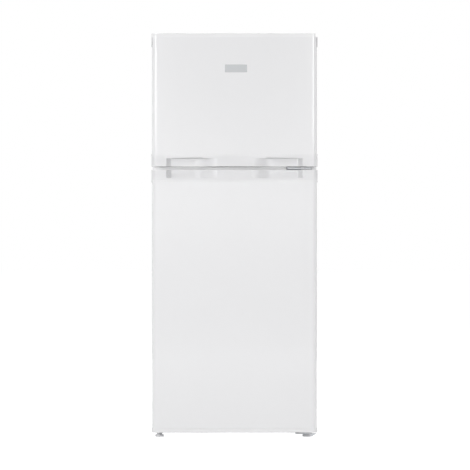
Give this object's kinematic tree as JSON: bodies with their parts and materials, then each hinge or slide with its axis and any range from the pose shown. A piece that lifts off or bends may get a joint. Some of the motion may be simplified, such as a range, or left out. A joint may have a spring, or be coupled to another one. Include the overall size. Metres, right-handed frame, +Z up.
{
  "type": "top freezer refrigerator",
  "caption": "White free-standing refrigerator with a small freezer door above a large door, recessed grips at the gap between them, hinges on the right and a wire condenser behind.",
  "frame": {"origin": "on the floor, at the middle of the whole outline", "axes": "+Z up, the doors face -Y, +X to the right as seen from the front, where the hinges are"},
  "size_m": [0.545, 0.556, 1.329],
  "materials": {
    "white_enamel": "smooth gloss enamel",
    "zinc_sheet": "galvanised sheet",
    "white_liner": "vacuum formed, soft gloss",
    "white_gloss": "moulded, gloss",
    "foam": "rigid insulating foam, cut face",
    "seal": "soft magnetic seal",
    "grey_plastic": "moulded, satin",
    "foot_plastic": "moulded, satin",
    "clear_plastic": "clear moulded",
    "shelf_glass": "toughened, clear",
    "coated_wire": "white coated wire",
    "bare_aluminium": "rolled",
    "satin_silver": "satin plate",
    "hinge_steel": "plated",
    "black_enamel": "black enamel",
    "black_rubber": "moulded rubber",
    "black_plastic": "moulded, satin",
    "copper": "drawn copper"
  },
  "bodies": {
    "cabinet": {"back_panel": "zinc_sheet", "base_crossbar": "white_enamel", "base_panel": "zinc_sheet", "bottom_hinge": "hinge_steel", "cabinet_shell": "white_enamel", "cable_gland": "black_rubber", "compressor": "black_enamel", "compressor_grommets": "black_rubber", "compressor_rail": "zinc_sheet", "condenser_brackets": "grey_plastic", "condenser_tube": "black_enamel", "condenser_wires": "black_enamel", "crisper_cover_glass": "shelf_glass", "discharge_pipe": "copper", "drip_tray": "black_plastic", "evaporator": "bare_aluminium", "filter_drier": "copper", "foot_bracket": "hinge_steel", "freezer_liner": "white_liner", "freezer_shelf": "coated_wire", "fridge_liner": "white_liner", "hinge_screws": "hinge_steel", "insulation_foam": "foam", "lamp_bulb": "shelf_glass", "lamp_lens": "clear_plastic", "lower_shelf_glass": "shelf_glass", "middle_crossbar": "white_enamel", "middle_hinge": "hinge_steel", "rear_feet": "grey_plastic", "shelf_trims": "white_gloss", "suction_pipe": "copper", "terminal_box": "black_plastic", "thermostat_housing": "white_gloss", "top_hinge": "hinge_steel", "top_hinge_cover": "white_gloss", "upper_shelf_glass": "shelf_glass"},
    "fridge_door": {"fridge_door_skin": "white_enamel", "fridge_door_foam": "foam", "fridge_door_liner": "white_liner", "fridge_door_grip": "white_gloss", "fridge_door_cap": "white_gloss", "fridge_door_gasket": "seal", "fridge_door_bushes": "grey_plastic", "bottle_bin": "clear_plastic", "door_bins": "clear_plastic"},
    "freezer_door": {"freezer_door_skin": "white_enamel", "freezer_door_foam": "foam", "freezer_door_liner": "white_liner", "freezer_door_grip": "white_gloss", "freezer_door_cap": "white_gloss", "freezer_door_gasket": "seal", "freezer_door_bushes": "grey_plastic", "freezer_racks": "clear_plastic", "badge_plate": "satin_silver"},
    "crisper": {"crisper_drawer": "clear_plastic"},
    "knob": {"thermostat_knob": "grey_plastic"},
    "switch": {"light_switch_plunger": "grey_plastic"},
    "foot_left": {"front_foot_left": "foot_plastic"},
    "foot_right": {"front_foot_right": "foot_plastic"}
  },
  "joints": [
    {"name": "fridge_door_hinge", "type": "hinge", "parent": "cabinet", "child": "fridge_door", "pos_m": [0.2445, -0.253, 0.45], "axis": [0, 0, 1], "range_deg": [0, 110]},
    {"name": "freezer_door_hinge", "type": "hinge", "parent": "cabinet", "child": "freezer_door", "pos_m": [0.2445, -0.253, 1.11], "axis": [0, 0, 1], "range_deg": [0, 110]},
    {"name": "crisper_slide", "type": "slide", "parent": "cabinet", "child": "crisper", "axis": [0, -1, 0], "range_m": [0, 0.028]},
    {"name": "thermostat_turn", "type": "hinge", "parent": "cabinet", "child": "knob", "pos_m": [0.059, -0.12, 0.812], "axis": [0, 0, -1], "range_deg": [0, 270]},
    {"name": "light_switch_slide", "type": "slide", "parent": "cabinet", "child": "switch", "axis": [0, -1, 0], "range_m": [0, 0.0042]},
    {"name": "left_foot_turn", "type": "hinge", "parent": "cabinet", "child": "foot_left", "pos_m": [-0.249, -0.177, 0.02], "axis": [0, 0, 1], "continuous": true},
    {"name": "right_foot_turn", "type": "hinge", "parent": "cabinet", "child": "foot_right", "pos_m": [0.24, -0.177, 0.02], "axis": [0, 0, 1], "continuous": true}
  ],
  "couplings": [
    {"joint": "light_switch_slide", "follows": "fridge_door_hinge", "m_per_rad": 0.0021}
  ]
}
